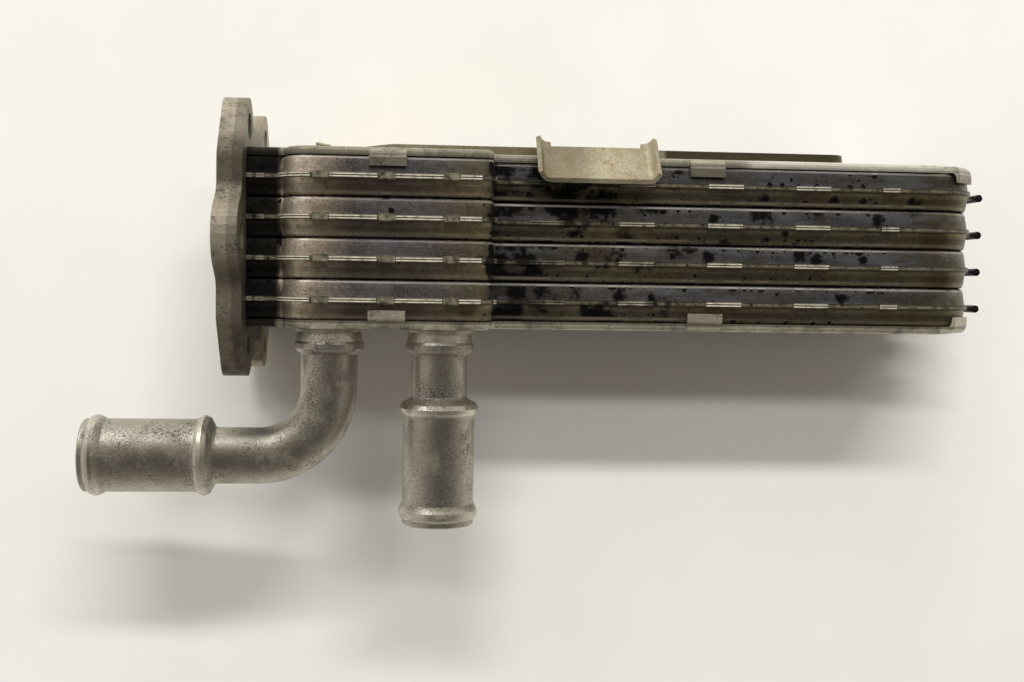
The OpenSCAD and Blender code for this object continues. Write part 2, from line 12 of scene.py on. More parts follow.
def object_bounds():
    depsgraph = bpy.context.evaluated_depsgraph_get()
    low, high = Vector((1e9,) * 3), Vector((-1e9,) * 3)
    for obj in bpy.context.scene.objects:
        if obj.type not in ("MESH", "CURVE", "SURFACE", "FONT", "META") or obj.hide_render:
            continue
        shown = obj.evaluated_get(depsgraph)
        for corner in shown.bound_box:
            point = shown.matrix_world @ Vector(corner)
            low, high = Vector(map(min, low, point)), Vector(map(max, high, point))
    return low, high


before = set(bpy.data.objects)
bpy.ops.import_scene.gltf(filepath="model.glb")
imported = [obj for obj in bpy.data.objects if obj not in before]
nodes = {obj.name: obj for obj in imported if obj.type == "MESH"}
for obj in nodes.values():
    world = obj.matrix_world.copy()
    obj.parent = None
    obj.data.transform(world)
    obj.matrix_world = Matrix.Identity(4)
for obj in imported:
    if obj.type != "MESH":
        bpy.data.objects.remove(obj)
cad_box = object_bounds()
scene = bpy.context.scene
MM = 0.001
print("pieces:", len(nodes), "lowest corner in mm:", [round(v / MM, 1) for v in cad_box[0]])

# %% [markdown]
# The camera
#
# The picture was taken from above the table, nearly square to the side that carries the
# coolant ports. The place and tilt were worked out from the four parallel seams and the
# round pipe ends, so the camera is set from three directions rather than aimed at a point.

# %% Camera
PICTURE_WIDTH = 1024
FOCAL_PIXELS = 1230
SENSOR_MM = 36
NEAREST_SHOWN = 0.01
CAMERA_PLACE = Vector((45.68, -10.43, 328.55)) * MM
CAMERA_RIGHT = Vector((0.9964, 0.0155, 0.0836)).normalized()
CAMERA_FORWARD = Vector((0.0843, -0.0466, -0.9954)).normalized()
camera_up = CAMERA_RIGHT.cross(CAMERA_FORWARD).normalized()

camera = bpy.data.objects.new("camera", bpy.data.cameras.new("camera"))
scene.collection.objects.link(camera)
turn = Matrix((CAMERA_RIGHT, camera_up, -CAMERA_FORWARD)).transposed()
camera.matrix_world = Matrix.Translation(CAMERA_PLACE) @ turn.to_4x4()
camera.data.sensor_width = SENSOR_MM
camera.data.sensor_fit = "HORIZONTAL"
camera.data.lens = SENSOR_MM * FOCAL_PIXELS / PICTURE_WIDTH
camera.data.clip_start = NEAREST_SHOWN
scene.camera = camera
print("lens in mm:", round(camera.data.lens, 2))

# %% [markdown]
# Colours and nodes
#
# Colours are written as they look on a screen. The shader works in linear light, so one
# function turns a hex value into linear numbers. Another adds a node, sets it up and links
# it, which keeps each finish readable as a list of layers.

# %% Helpers for finishes
# Settings of a Mix node for colours. Its inputs go by number: 0 is the share, 6 and 7 are the
# colours. In a Mix node for numbers, 2 and 3 are the numbers.
COLOUR = {"out": 2, "data_type": "RGBA"}


def linear(hex_colour):
    """Turns an sRGB hex value into a linear colour with alpha."""
    channels = [int(hex_colour[i:i + 2], 16) / 255 for i in (1, 3, 5)]
    return [c / 12.92 if c <= 0.04045 else ((c + 0.055) / 1.055) ** 2.4 for c in channels] + [1]


def add(tree, kind, inputs=None, out=0, stops=None, **settings):
    """Adds one node with its settings and links, and returns one of its outputs."""
    node = tree.nodes.new(kind)
    for name, value in settings.items():
        setattr(node, name, value)
    for key, value in (inputs or {}).items():
        if isinstance(value, bpy.types.NodeSocket):
            tree.links.new(value, node.inputs[key])
        else:
            node.inputs[key].default_value = value
    if stops:
        elements = node.color_ramp.elements
        while len(elements) < len(stops):
            elements.new(1)
        for element, (place, colour) in zip(elements, stops):
            element.position = place
            element.color = linear(colour) if isinstance(colour, str) else [colour] * 3 + [1]
    return node.outputs[out]


def new_finish(name):
    """Starts a material and returns it with its node tree and its shader."""
    material = bpy.data.materials.new(name)
    material.use_nodes = True
    tree = material.node_tree
    return material, tree, tree.nodes["Principled BSDF"]


print("cream in linear light:", [round(c, 3) for c in linear("#F4F0E6")])

# %% [markdown]
# The table
#
# The cooler lies on a plain cream sheet, pale enough to look white where the light is
# strongest. A paper sheet is matt, with a faint mottling that stops it looking like a void.
# A flat square is enough for it, a hair below the cooler so that the two don't touch.

# %% Floor
FLOOR_HALF = 1.6
FLOOR_DROP = 0.05 * MM
PAPER_MOTTLE = 60 * MM


def paper_finish():
    """Makes uncoated paper, which spreads the light evenly and has hardly any gloss."""
    material, tree, shader = new_finish("cream_paper")
    place = add(tree, "ShaderNodeTexCoord", out="Object")
    mottle = add(tree, "ShaderNodeTexNoise", {"Vector": place, "Scale": 1 / PAPER_MOTTLE, "Detail": 3})
    colour = add(tree, "ShaderNodeValToRGB", {"Fac": mottle}, stops=[(0.3, "#F1EEE8"), (0.7, "#F5F3EE")])
    tree.links.new(colour, shader.inputs["Base Color"])
    shader.inputs["Roughness"].default_value = 0.8
    shader.inputs["Specular IOR Level"].default_value = 0.2
    return material


floor_mesh = bpy.data.meshes.new("floor")
low = cad_box[0][2] - FLOOR_DROP
corners = [(x * FLOOR_HALF, y * FLOOR_HALF, low) for x, y in ((-1, -1), (1, -1), (1, 1), (-1, 1))]
floor_mesh.from_pydata(corners, [], [(0, 1, 2, 3)])
floor = bpy.data.objects.new("floor", floor_mesh)
scene.collection.objects.link(floor)
floor_mesh.materials.append(paper_finish())
print("floor at z in mm:", round(low / MM, 2))

# %% [markdown]
# The light
#
# Two long tubes beyond the top edge of the picture cast the two shadows. Edges that run
# along the tubes stay crisp and edges across them are smeared out, which is why the long
# body throws a clear shadow and the upright pipe hardly any. Area lamps of a tube's size
# give that by themselves. No tube shows as a sharp line in the real metal, so the tubes
# light the surfaces but are left out of their gloss.

# %% Lamps
scene.view_settings.view_transform = "Standard"
CENTRE = Vector((85, -5, 0)) * MM
# Each row is a name, a place in mm, a length and width in metres, a power in watts and a colour.
LAMPS = [
    ("steep_tube", (150, 660, 1500), (1.2, 0.09), 7.4, "#F6F9FF"),
    ("low_tube", (150, 1270, 1500), (1.2, 0.12), 26, "#FFFDF8"),
]
for name, place, size, power, tint in LAMPS:
    light = bpy.data.lights.new(name, "AREA")
    light.shape = "RECTANGLE"
    light.size, light.size_y = size
    light.energy = power
    light.color = linear(tint)[:3]
    lamp = bpy.data.objects.new(name, light)
    lamp.location = Vector(place) * MM
    lamp.rotation_euler = (CENTRE - lamp.location).to_track_quat("-Z", "Y").to_euler()
    lamp.visible_glossy = False
    scene.collection.objects.link(lamp)
print("lamps:", [row[0] for row in LAMPS])

# %% [markdown]
# The room
#
# The room is dark overhead and brighter low down, most of all beyond the top edge, and satin
# metal shows that as a dark band along the middle of each pipe. A soft window gives the
# beads and hems their highlights. A picture of a room could light the scene too, but two
# directions with a ramp each are enough: one for the bright side and one for the window.

# %% Room
BRIGHT_SIDE = Vector((-0.08, 0.16, -0.5))
ROOM_TINTS = [(0, "#524E47"), (0.1, "#7F7970"), (0.25, "#C4C0B8"), (0.5, "#E6E3DC"), (0.75, "#FAF8F4")]
WINDOW = Vector((-0.4, 0.85, 0.36)).normalized()
WINDOW_EDGE = [(0.93, 0), (0.985, 1)]
WINDOW_GLOW = 3
ROOM_STRENGTH = 0.8
world = bpy.data.worlds.new("room")
world.use_nodes = True
scene.world = world
tree = world.node_tree
direction = add(tree, "ShaderNodeTexCoord", out="Generated")
towards = add(tree, "ShaderNodeVectorMath", {0: direction, 1: BRIGHT_SIDE}, "Value",
              operation="DOT_PRODUCT")
share = add(tree, "ShaderNodeMath", {0: towards, 1: 0.5}, operation="ADD")
room = add(tree, "ShaderNodeValToRGB", {"Fac": share}, stops=ROOM_TINTS)
facing = add(tree, "ShaderNodeVectorMath", {0: direction, 1: WINDOW}, "Value", operation="DOT_PRODUCT")
glow = add(tree, "ShaderNodeValToRGB", {"Fac": facing}, stops=WINDOW_EDGE)
glow = add(tree, "ShaderNodeVectorMath", {0: glow, "Scale": WINDOW_GLOW}, operation="SCALE")
room = add(tree, "ShaderNodeVectorMath", {0: room, 1: glow}, operation="ADD")
tree.links.new(room, tree.nodes["Background"].inputs["Color"])
tree.nodes["Background"].inputs["Strength"].default_value = ROOM_STRENGTH
print("room tints from overhead to low down:", len(ROOM_TINTS))

# %% [markdown]
# Where things are on the cooler
#
# Every piece keeps its place in its vertices, so the object coordinates of all of them are
# one shared frame in metres. Turned into millimetres they say where a point lies. A wear mark
# is then a band of one of these values, with a soft border. Painted textures would need an
# unwrapped mesh, and a band needs none.

# %% Places in millimetres
# A band that is open at one end runs on to a value that nothing on the cooler reaches.
BEYOND = 1000


def place_in_mm(tree):
    """Returns the point in millimetres as a vector and as x, y and z."""
    metres = add(tree, "ShaderNodeTexCoord", out="Object")
    point = add(tree, "ShaderNodeVectorMath", {0: metres, "Scale": 1 / MM}, operation="SCALE")
    split = add(tree, "ShaderNodeSeparateXYZ", {0: point}).node
    return point, split.outputs[0], split.outputs[1], split.outputs[2]


def band(tree, value, start, end, soft):
    """Returns 1 between start and end and 0 outside, with borders that reach soft to both sides."""
    sides = []
    for outside, inside in ((start - soft, start + soft), (end + soft, end - soft)):
        inputs = {"Value": value, "From Min": outside, "From Max": inside}
        sides.append(add(tree, "ShaderNodeMapRange", inputs, interpolation_type="SMOOTHSTEP"))
    return add(tree, "ShaderNodeMath", {0: sides[0], 1: sides[1]}, operation="MULTIPLY")


print("open bands run on to", BEYOND)

# %% [markdown]
# Two more values belong to the cells: the height over the nearest seam, and how far a point
# stands out of the cell's wall. The four seams are folded into one with a modulo. The wall
# lies at one depth at the neck and at others on the bulge and behind it, so its depth is
# put together along the length of the cooler.

# %% Seams and walls
CELL_PITCH = 10
STACK_HALF = 20
NECK_WALL, BULGE_WALL, MAIN_WALL, FAR_WALL = 23.5, 29.5, 19, 23
BULGE_START, BULGE_TO = 22.2, 66.5
BULGE_TURN = 8


def height_from_seam(tree, y):
    """Returns the height over the nearest seam, from -5 at one groove to 5 at the next."""
    lifted = add(tree, "ShaderNodeMath", {0: y, 1: STACK_HALF}, operation="ADD")
    inside = add(tree, "ShaderNodeMath", {0: lifted, 1: CELL_PITCH}, operation="FLOORED_MODULO")
    return add(tree, "ShaderNodeMath", {0: inside, 1: CELL_PITCH / 2}, operation="SUBTRACT")


def proud_of_wall(tree, point, x, z):
    """Returns how far a point stands out of the cell's wall, on the near side or the far side."""
    neck = add(tree, "ShaderNodeMath", {0: z, 1: NECK_WALL}, operation="SUBTRACT")
    flat = add(tree, "ShaderNodeVectorMath", {0: point, 1: (1, 0, 1)}, operation="MULTIPLY")
    ridge = (BULGE_START, 0, BULGE_WALL - BULGE_TURN)
    reach = add(tree, "ShaderNodeVectorMath", {0: flat, 1: ridge}, "Value", operation="DISTANCE")
    shoulder = add(tree, "ShaderNodeMath", {0: reach, 1: BULGE_TURN}, operation="SUBTRACT")
    wall = add(tree, "ShaderNodeMath", {0: neck, 1: shoulder}, operation="MINIMUM")
    for start, height in ((BULGE_START, BULGE_WALL), (BULGE_TO, MAIN_WALL)):
        later = add(tree, "ShaderNodeMath", {0: x, 1: start}, operation="GREATER_THAN")
        level = add(tree, "ShaderNodeMath", {0: z, 1: height}, operation="SUBTRACT")
        wall = add(tree, "ShaderNodeMix", {0: later, 2: wall, 3: level})
    far = add(tree, "ShaderNodeMath", {0: -FAR_WALL, 1: z}, operation="SUBTRACT")
    return add(tree, "ShaderNodeMath", {0: wall, 1: far}, operation="MAXIMUM")


print("cells are", CELL_PITCH, "mm apart")

# %% [markdown]
# Drawn stainless with baked soot
#
# The half-shells are thin stainless sheet, drawn in a press and brazed in a furnace. Along
# their length they are black at the neck, pale warm grey and then bluish on the bulge, heavily
# sooted behind it and olive-hazed at the closed end. The pale warm grey at the start of the
# bulge is a painted reflection of the bright room in its rounded shoulder. The hems along the
# seams are bright, partly rubbed and partly a painted highlight, and the grooves are dark,
# partly dirt and partly painted shade. Each change is a layer with its own mask, and the first
# layer is a ramp of tints along the cooler.

# %% Tints of the half-shells
LENGTH = 200
# Each row is a place along the cooler in mm and the colour or the amount there.
# The pale warm tints from 14.8 to 25 mm, on both halves, are a painted reflection of the bright room in the
# rounded shoulder of the bulge.
UPPER_TINTS = [(13.9, "#2A2724"), (14.8, "#E6D6C2"), (21, "#F0DFCB"), (25, "#C8BAAB"), (32, "#888280"),
               (46, "#858287"), (56, "#868077"), (63.5, "#8A826A"), (65.5, "#504B44"), (95, "#7A746A"),
               (125, "#706F72"), (160, "#6C6A6C"), (180, "#686459"), (188, "#7C7660")]
LOWER_TINTS = [(13.9, "#2C2823"), (14.8, "#F0E0C8"), (21, "#DDCDB6"), (25, "#ADA08C"), (32, "#756B5F"),
               (46, "#7C7368"), (56, "#9C927B"), (63.5, "#B8AC8A"), (65.5, "#5C554A"), (95, "#8A8069"),
               (125, "#726A58"), (160, "#79705C"), (180, "#7F7559"), (188, "#847B64")]
SOOT_AMOUNT = [(13.9, 0.42), (15, 0), (30, 0), (50, 0.1), (63.5, 0.16), (65.5, 0.5), (100, 0.42),
               (135, 0.32), (165, 0.2), (185, 0.05)]
TINT_BORDER = 4 * MM
TINT_WANDER = 2.4


def along_cooler(tree, place, rows):
    """Returns the colour or the amount that rows give for a place along the cooler."""
    along = add(tree, "ShaderNodeMath", {0: place, 1: LENGTH}, operation="DIVIDE")
    return add(tree, "ShaderNodeValToRGB", {"Fac": along}, stops=[(p / LENGTH, v) for p, v in rows])


def wandering_place(tree, x):
    """Returns the place along the cooler, shifted a little so that borders of tints wander."""
    metres = add(tree, "ShaderNodeTexCoord", out="Object")
    wander = add(tree, "ShaderNodeTexNoise", {"Vector": metres, "Scale": 1 / TINT_BORDER, "Detail": 3})
    shift = add(tree, "ShaderNodeMath", {0: wander, 1: TINT_WANDER, 2: -TINT_WANDER / 2},
                operation="MULTIPLY_ADD")
    return add(tree, "ShaderNodeMath", {0: x, 1: shift}, operation="ADD")


print("tints along the shells:", len(UPPER_TINTS))

# %% [markdown]
# Blotches
#
# Burnt drops and rust spots lie where the cooler happened to get them, so the larger ones
# are listed one by one. Each is a ball around a place: what is inside it is stained, and noise
# added to the distance makes the border ragged.

# %% Blotches listed one by one
# Depths in mm of the bulge, of the wall behind it and of the grooves in that wall.
ON_BULGE, ON_WALL, IN_GROOVE = 29, 19, 17.4
# Each row is a place along X, a height in Y and a radius, all in mm.
BLACK_ROWS = {
    ON_BULGE: [(40, 9.9, 1.1), (41.2, 6.6, 0.9)],
    ON_WALL: [(123, 7, 1.6), (154.7, 12, 1.8), (162.4, 11.5, 1.6), (166.3, 7.6, 1.9), (176, 11, 2.7),
              (89.3, -3.2, 1.8), (112.7, -2.7, 1.2), (122, -2.8, 1.8), (142, 3.2, 1.2),
              (146.2, -1.6, 2.4), (150.2, -3, 1.9), (162.4, -3, 1.4), (99, -13.2, 2), (157, -12.9, 1.9)],
    # The large blotch in a groove at 94.5 mm, beside the saddle of the clip bracket, is partly soot and
    # partly a painted shadow of that saddle.
    IN_GROOVE: [(72.3, 9.4, 2.6), (94.5, 9.7, 4.6), (107.5, 9.5, 2.4), (136, 9.4, 4), (150.5, 9.3, 1.9),
                (100.5, 0.9, 2.6), (126, 0.5, 2), (152, 0.2, 1.8), (158.6, -0.2, 1.9), (167, 0.1, 1.9),
                (69.7, -9.1, 3), (114.5, -10.4, 1.4), (127.8, -9.9, 2.1), (155, -9.8, 1.6)],
}
BLACK_BLOTCHES = [((x, y, depth), radius) for depth, rows in BLACK_ROWS.items() for x, y, radius in rows]
DRIPS = [((x, 15.8, ON_WALL), 0.75) for x in (137.5, 140.6, 145, 149.7, 158.5, 162)]
RUST_BLOTCHES = [((88, 7.5, ON_WALL), 3), ((94, -2.8, ON_WALL), 4), ((181, 2.5, ON_WALL), 3.6),
                 ((100, 2, ON_WALL), 2.4), ((59.5, -16.5, ON_BULGE), 2.2), ((183, -8, 18), 3)]


def blotches(tree, point, ragged, rows):
    """Returns the largest of some round masks with ragged borders, each row a place and a radius."""
    largest = 0
    for place, radius in rows:
        apart = add(tree, "ShaderNodeVectorMath", {0: point, 1: place}, "Value", operation="DISTANCE")
        reach = add(tree, "ShaderNodeMath", {0: ragged, 1: radius * 2, 2: apart}, operation="MULTIPLY_ADD")
        spot = band(tree, reach, -BEYOND, radius * 2, radius * 0.4)
        largest = add(tree, "ShaderNodeMath", {0: largest, 1: spot}, operation="MAXIMUM")
    return largest


print("blotches placed by hand:", len(BLACK_BLOTCHES + DRIPS + RUST_BLOTCHES))

# %% [markdown]
# Soot
#
# Soot itself comes in three sizes: a broken film over centimetres, flakes and drips of a few
# millimetres, and a pepper of fine specks. The film is noise cut at a level that follows the
# length of the cooler. The flakes are cells of a Voronoi pattern, each with its own size.

# %% Soot masks
FILM_MM, CROWD_MM = 8, 9
# Real soot grains are far finer than a pixel, which is about 0.25 mm, so specks are drawn at 0.4 mm.
SPECK_MM = 0.4
# Each row is the pitch of the flakes in mm and what is taken off their size.
FLAKES = [(3.2, 0.56), (1.4, 0.52)]
FLAKE_BEND = 1.8
GROOVE_SIDE, GROOVE_GAIN = 3.2, 0.32


def soot_film(tree, point, amount):
    """Returns the mask of the broken film."""
    inputs = {"Vector": point, "Scale": 1 / FILM_MM, "Detail": 5, "Roughness": 0.62}
    cloud = add(tree, "ShaderNodeTexNoise", inputs)
    heavy = add(tree, "ShaderNodeMath", {0: amount, 1: cloud}, operation="ADD")
    return band(tree, heavy, 0.97, BEYOND, 0.07)


def soot_flakes(tree, point, amount, off_seam, ragged):
    """Returns the mask of the flakes, which are bent out of shape and larger beside the grooves."""
    offset = ragged.node.outputs["Color"]
    bent = add(tree, "ShaderNodeVectorMath", {0: offset, "Scale": FLAKE_BEND}, operation="SCALE")
    bent = add(tree, "ShaderNodeVectorMath", {0: point, 1: bent}, operation="ADD")
    by_groove = band(tree, off_seam, GROOVE_SIDE, BEYOND, 1.4)
    largest = 0
    for pitch, less in FLAKES:
        cells = add(tree, "ShaderNodeTexVoronoi", {"Vector": bent, "Scale": 1 / pitch}).node
        inputs = {0: cells.outputs["Color"], 1: 0.9, 2: -less}
        size = add(tree, "ShaderNodeMath", inputs, operation="MULTIPLY_ADD")
        inputs = {0: by_groove, 1: GROOVE_GAIN, 2: size}
        size = add(tree, "ShaderNodeMath", inputs, operation="MULTIPLY_ADD")
        inside = add(tree, "ShaderNodeMath", {0: size, 1: cells.outputs["Distance"]}, operation="SUBTRACT")
        spot = band(tree, inside, 0, BEYOND, 0.09)
        largest = add(tree, "ShaderNodeMath", {0: largest, 1: spot}, operation="MAXIMUM")
    sooty = band(tree, amount, 0.14, BEYOND, 0.06)
    return add(tree, "ShaderNodeMath", {0: largest, 1: sooty}, operation="MULTIPLY")


def soot_specks(tree, point):
    """Returns the mask of the fine specks, which crowd together in places."""
    inputs = {"Vector": point, "Scale": 1 / SPECK_MM, "Detail": 3, "Roughness": 0.7}
    fine = add(tree, "ShaderNodeTexNoise", inputs)
    crowd = add(tree, "ShaderNodeTexNoise", {"Vector": point, "Scale": 1 / CROWD_MM, "Detail": 3})
    pepper = add(tree, "ShaderNodeMath", {0: crowd, 1: 0.5, 2: fine}, operation="MULTIPLY_ADD")
    return band(tree, pepper, 0.84, BEYOND, 0.08)


def soot_crust(tree, point, amount, off_seam, ragged):
    """Returns the mask of film, flakes and blotches together."""
    crust = soot_film(tree, point, amount)
    flakes = soot_flakes(tree, point, amount, off_seam, ragged)
    marks = blotches(tree, point, ragged, BLACK_BLOTCHES + DRIPS)
    for mask in (flakes, marks):
        crust = add(tree, "ShaderNodeMath", {0: crust, 1: mask}, operation="MAXIMUM")
    return crust


print("sizes of flakes:", len(FLAKES))

# %% [markdown]
# The seams
#
# The seams are the brightest thing on the cells. Each half-shell ends in a narrow lip, and
# in places the lip is hemmed: there two bright edges show with a fine dark line between
# them, partly rubbed clean and partly a painted highlight. Short lock tabs on the bulge stay
# dull. They are all one solid with the shell, so the shader tells them apart by how far they
# stand out of the wall and where they lie along it.

# %% Lips and hems
LIP_HALF, WORN_HALF = 0.66, 0.34
HEM_PROUD = 0.8
HEM_EDGE_START, HEM_EDGE_END = 0.16, 0.44
NECK_DASHES = [(6.2, 7.5), (8.4, 10.3)]
# Each row is a place along the cooler in mm and how much of the hems' brightness, partly clean metal and
# partly a painted highlight, shows there.
HEM_SHINE = [(12, 0.35), (15, 1), (66, 1), (70, 0.15), (88, 0.22), (96, 0.5), (112, 0.65), (119, 1),
             (140, 0.9), (172, 0.7)]


def lay_lips(tree, colour, off_seam, dirt, ragged):
    """Lays the lips of the seams over the colour, and returns it with the mask of the lips."""
    lip = band(tree, off_seam, -BEYOND, LIP_HALF, 0.04)
    wear_and_shade = band(tree, off_seam, -BEYOND, WORN_HALF, 0.12)
    tint = add(tree, "ShaderNodeValToRGB", {"Fac": ragged}, stops=[(0.38, "#433F35"), (0.62, "#766F5C")])
    tint = add(tree, "ShaderNodeMix", {0: wear_and_shade, 6: linear("#37332B"), 7: tint}, **COLOUR)
    tint = add(tree, "ShaderNodeMix", {0: dirt, 6: tint, 7: linear("#24211D")}, **COLOUR)
    return add(tree, "ShaderNodeMix", {0: lip, 6: colour, 7: tint}, **COLOUR), lip


def lay_hems(tree, colour, x, proud, off_seam, lip, dirt, ragged):
    """Lays the bright hems over the colour, partly rubbed clean and partly a painted highlight, dulled where
    they are dirty.
    """
    hem = band(tree, proud, HEM_PROUD, BEYOND, 0.15)
    for start, end in NECK_DASHES:
        dash = band(tree, x, start, end, 0.15)
        hem = add(tree, "ShaderNodeMath", {0: hem, 1: dash}, operation="MAXIMUM")
    broken = band(tree, ragged, 0.62, BEYOND, 0.05)
    dirty = add(tree, "ShaderNodeMath", {0: broken, 1: dirt}, operation="MAXIMUM")
    kept = add(tree, "ShaderNodeMath", {0: dirty, 1: -0.7, 2: 1}, operation="MULTIPLY_ADD")
    for mask in (lip, kept, along_cooler(tree, x, HEM_SHINE)):
        hem = add(tree, "ShaderNodeMath", {0: hem, 1: mask}, operation="MULTIPLY")
    # The two edges of a hem are painted bright, partly rubbed clean and partly a painted highlight.
    bright_edges = band(tree, off_seam, HEM_EDGE_START, HEM_EDGE_END, 0.07)
    tint = add(tree, "ShaderNodeValToRGB", {"Fac": ragged}, stops=[(0.35, "#F0E8D6"), (0.62, "#BDB5A2")])
    tint = add(tree, "ShaderNodeMix", {0: bright_edges, 6: linear("#6A6456"), 7: tint}, **COLOUR)
    return add(tree, "ShaderNodeMix", {0: hem, 6: colour, 7: tint}, **COLOUR)


print("hems stand out by more than", HEM_PROUD, "mm")

# %% [markdown]
# The lock tabs repeat along the bulge on the near side, so a modulo along X finds them all.

# %% Lock tabs
LOCK_START, LOCK_END, LOCK_PITCH, LOCK_LENGTH = 22.35, 60, 15.75, 4.05
LOCK_PROUD = 0.4


def lay_lock_tabs(tree, colour, x, z, proud, ragged):
    """Lays the lock tabs of the bulge over the colour."""
    from_first = add(tree, "ShaderNodeMath", {0: x, 1: LOCK_START}, operation="SUBTRACT")
    in_pitch = add(tree, "ShaderNodeMath", {0: from_first, 1: LOCK_PITCH}, operation="FLOORED_MODULO")
    lock = band(tree, in_pitch, -BEYOND, LOCK_LENGTH, 0.02)
    on_bulge = band(tree, x, LOCK_START, LOCK_END, 0.02)
    near = add(tree, "ShaderNodeMath", {0: z, 1: 0}, operation="GREATER_THAN")
    raised = band(tree, proud, LOCK_PROUD, BEYOND, 0.1)
    for mask in (on_bulge, near, raised):
        lock = add(tree, "ShaderNodeMath", {0: lock, 1: mask}, operation="MULTIPLY")
    tint = add(tree, "ShaderNodeValToRGB", {"Fac": ragged}, stops=[(0.35, "#3F3B31"), (0.62, "#8A836F")])
    return add(tree, "ShaderNodeMix", {0: lock, 6: colour, 7: tint}, **COLOUR)


print("lock tabs are", LOCK_PITCH, "mm apart")

# %% [markdown]
# The bare sheet
#
# Under the soot the sheet isn't even. Drawing left lines along it, handling a mottle, heat a
# brown haze and, behind the bulge, bluish patches, which lie on the upper halves only and are
# partly a painted sheen. All four are noise of a known size, and stretching the noise along X
# turns spots into lines.

# %% Layers of the bare sheet
# Drawing lines are finer than a pixel, so they are drawn about 0.6 mm apart and 25 mm long.
LINE_STRETCH = (0.04, 1.6, 1.6)
PATCH_STRETCH = (0.07, 0.4, 0.4)
HAZE_MM = 13
SHELL_MOTTLE, SHELL_DARKEST = 1.5, 0.45
MOTTLE_SHARE = 0.85


def lay_mottle(tree, colour, point, size, darkest):
    """Darkens the colour in spots of a size in mm, at most by the darkest share."""
    inputs = {"Vector": point, "Scale": 1 / size, "Detail": 6, "Roughness": 0.75}
    mottle = add(tree, "ShaderNodeTexNoise", inputs)
    shade = add(tree, "ShaderNodeValToRGB", {"Fac": mottle}, stops=[(0.32, darkest), (0.68, 1)])
    inputs = {0: MOTTLE_SHARE, 6: colour, 7: shade}
    return add(tree, "ShaderNodeMix", inputs, blend_type="MULTIPLY", **COLOUR)


def lay_haze(tree, colour, point):
    """Browns the colour in patches of about a centimetre."""
    cloud = add(tree, "ShaderNodeTexNoise", {"Vector": point, "Scale": 1 / HAZE_MM, "Detail": 4})
    haze = band(tree, cloud, 0.5, BEYOND, 0.08)
    haze = add(tree, "ShaderNodeMath", {0: haze, 1: 0.3}, operation="MULTIPLY")
    inputs = {0: 1, 6: colour, 7: linear("#F0DDBE")}
    browner = add(tree, "ShaderNodeMix", inputs, blend_type="MULTIPLY", **COLOUR)
    return add(tree, "ShaderNodeMix", {0: haze, 6: colour, 7: browner}, **COLOUR)


def lay_blue_and_sheen(tree, colour, point, x, share):
    """Lays bluish patches behind the bulge: partly the sheet's own tint, partly a painted sheen."""
    drawn = add(tree, "ShaderNodeVectorMath", {0: point, 1: PATCH_STRETCH}, operation="MULTIPLY")
    inputs = {"Vector": drawn, "Scale": 1, "Detail": 5, "Roughness": 0.6}
    patch = add(tree, "ShaderNodeTexNoise", inputs)
    blue = band(tree, patch, 0.52, BEYOND, 0.07)
    for part in (share, band(tree, x, BULGE_TO, BEYOND, 2)):
        blue = add(tree, "ShaderNodeMath", {0: blue, 1: part}, operation="MULTIPLY")
    return add(tree, "ShaderNodeMix", {0: blue, 6: colour, 7: linear("#868890")}, **COLOUR)


print("drawing lines are", 1 / LINE_STRETCH[0], "mm long")

# %% [markdown]
# Painted shade and wear of the walls
#
# The height over the seam sets a painted shade on each band of the wall: the upper band is
# lighter near its crown and darker towards the lip, the lower band is lightest next to the lip
# and darkest in its middle, and both darken into the groove. The edges beside the grooves get
# lighter dashes, partly rubbed and partly a painted highlight, and the grooves are near-black,
# partly dirt and partly painted shade. All of it follows the height over the seam, so one
# ramp of brightness and two bands are enough.

# %% Painted shade and wear of the walls
# Each row is a height over the seam in mm and half the painted brightness of the wall there, a painted shade
# of its rounded profile.
WALL_PAINTED_SHADE = [(-4.95, 0.35), (-4.5, 0.5), (-4.1, 0.6), (-3.2, 0.38), (-2.3, 0.34), (-1.5, 0.62),
             (-0.8, 0.95), (0.8, 0.5), (1.8, 0.44), (3, 0.5), (4.1, 0.68), (4.5, 0.6), (4.95, 0.35)]
NECK_END = 15
GROOVE_LEVEL = 5.22


def lay_rub_and_highlight(tree, colour, x, seam, drawn, rub_and_highlight):
    """Lays the edge beside the groove, lighter in dashes: partly rubbed and partly a painted highlight.
    Its last argument is a band, a share and a colour.
    """
    start, end, soft, share, tint = rub_and_highlight
    noise = add(tree, "ShaderNodeTexNoise", {"Vector": drawn, "Scale": 0.6, "Detail": 3})
    dashes = band(tree, noise, 0.45, BEYOND, 0.1)
    edge = band(tree, seam, start, end, soft)
    for part in (dashes, band(tree, x, NECK_END, BEYOND, 0.6), share):
        edge = add(tree, "ShaderNodeMath", {0: edge, 1: part}, operation="MULTIPLY")
    return add(tree, "ShaderNodeMix", {0: edge, 6: colour, 7: linear(tint)}, **COLOUR)


